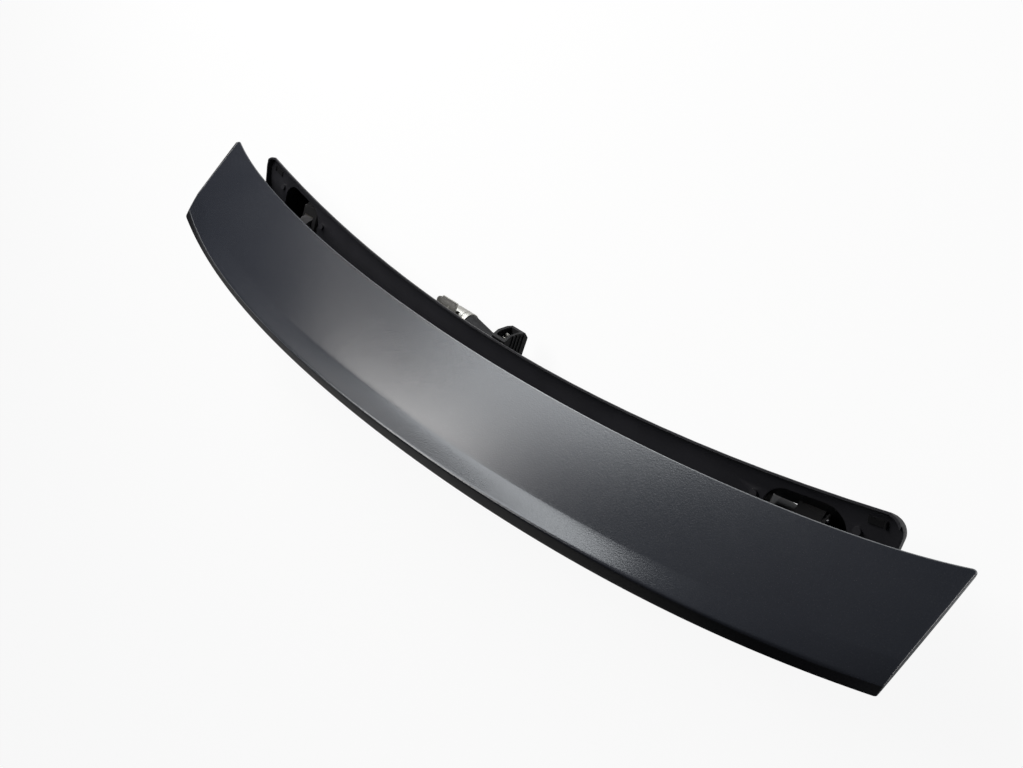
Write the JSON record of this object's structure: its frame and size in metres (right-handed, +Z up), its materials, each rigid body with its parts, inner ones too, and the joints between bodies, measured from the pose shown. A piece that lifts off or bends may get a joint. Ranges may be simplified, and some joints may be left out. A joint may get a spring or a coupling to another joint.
{
  "type": "powered trunk spoiler",
  "caption": "Powered trunk-lid spoiler with its blade raised on curved toothed struts above a bowed tray, with guide housings, a central motor and flexible drive shafts.",
  "frame": {"origin": "middle of the four foot holes, on the face the feet are bolted to", "axes": "+X across the car along the unit's length, +Y towards the front of the car, +Z up out of the trunk lid"},
  "size_m": [1.0998, 0.1618, 0.2363],
  "materials": {
    "painted_skin": "satin paint with a fine orange peel",
    "black_moulding": "satin moulded plastic",
    "dark_casting": "dark coated die casting",
    "bright_steel": "machined",
    "zinc_screws": "bright zinc",
    "motor_steel": "dull drawn steel",
    "glide_plastic": "natural low-friction plastic",
    "buffer_rubber": "matt",
    "gear_case": "fine-textured moulding",
    "contact_metal": "tinned",
    "shaft_sheath": "satin sheath",
    "nut_brass": "plain"
  },
  "bodies": {
    "base_unit": {"tray": "black_moulding", "stop_buffers": "buffer_rubber", "left_guide_housing": "dark_casting", "right_guide_housing": "dark_casting", "left_guide_cover": "dark_casting", "right_guide_cover": "dark_casting", "cover_screws": "zinc_screws", "left_inner_glide": "glide_plastic", "right_inner_glide": "glide_plastic", "left_outer_glide": "glide_plastic", "right_outer_glide": "glide_plastic", "left_gearbox": "dark_casting", "right_gearbox": "dark_casting", "gearbox_screws": "zinc_screws", "housing_screws": "zinc_screws", "motor_can": "motor_steel", "motor_bracket": "motor_steel", "motor_gear_case": "gear_case", "motor_terminals": "contact_metal", "motor_screws": "zinc_screws", "left_drive_shaft": "shaft_sheath", "right_drive_shaft": "shaft_sheath", "union_nuts": "nut_brass", "shaft_clips": "gear_case", "end_clips": "zinc_screws"},
    "blade_unit": {"blade_skin": "painted_skin", "blade_inner_panel": "black_moulding", "left_strut": "bright_steel", "right_strut": "bright_steel", "strut_screws": "zinc_screws"},
    "left_pinion_gear": {"left_pinion": "bright_steel"},
    "right_pinion_gear": {"right_pinion": "bright_steel"}
  },
  "joints": [
    {"name": "blade_lift", "type": "hinge", "parent": "base_unit", "child": "blade_unit", "pos_m": [0, 0.107, 0.104], "axis": [1, 0, 0], "range_deg": [0, 40]},
    {"name": "left_pinion_turn", "type": "hinge", "parent": "base_unit", "child": "left_pinion_gear", "pos_m": [-0.4, 0.03198, 0.02631], "axis": [1, 0, 0], "range_deg": [-320, 0]},
    {"name": "right_pinion_turn", "type": "hinge", "parent": "base_unit", "child": "right_pinion_gear", "pos_m": [0.4, 0.03198, 0.02631], "axis": [1, 0, 0], "range_deg": [-320, 0]}
  ],
  "couplings": [
    {"joint": "left_pinion_turn", "follows": "blade_lift", "ratio": -8},
    {"joint": "right_pinion_turn", "follows": "blade_lift", "ratio": -8}
  ]
}
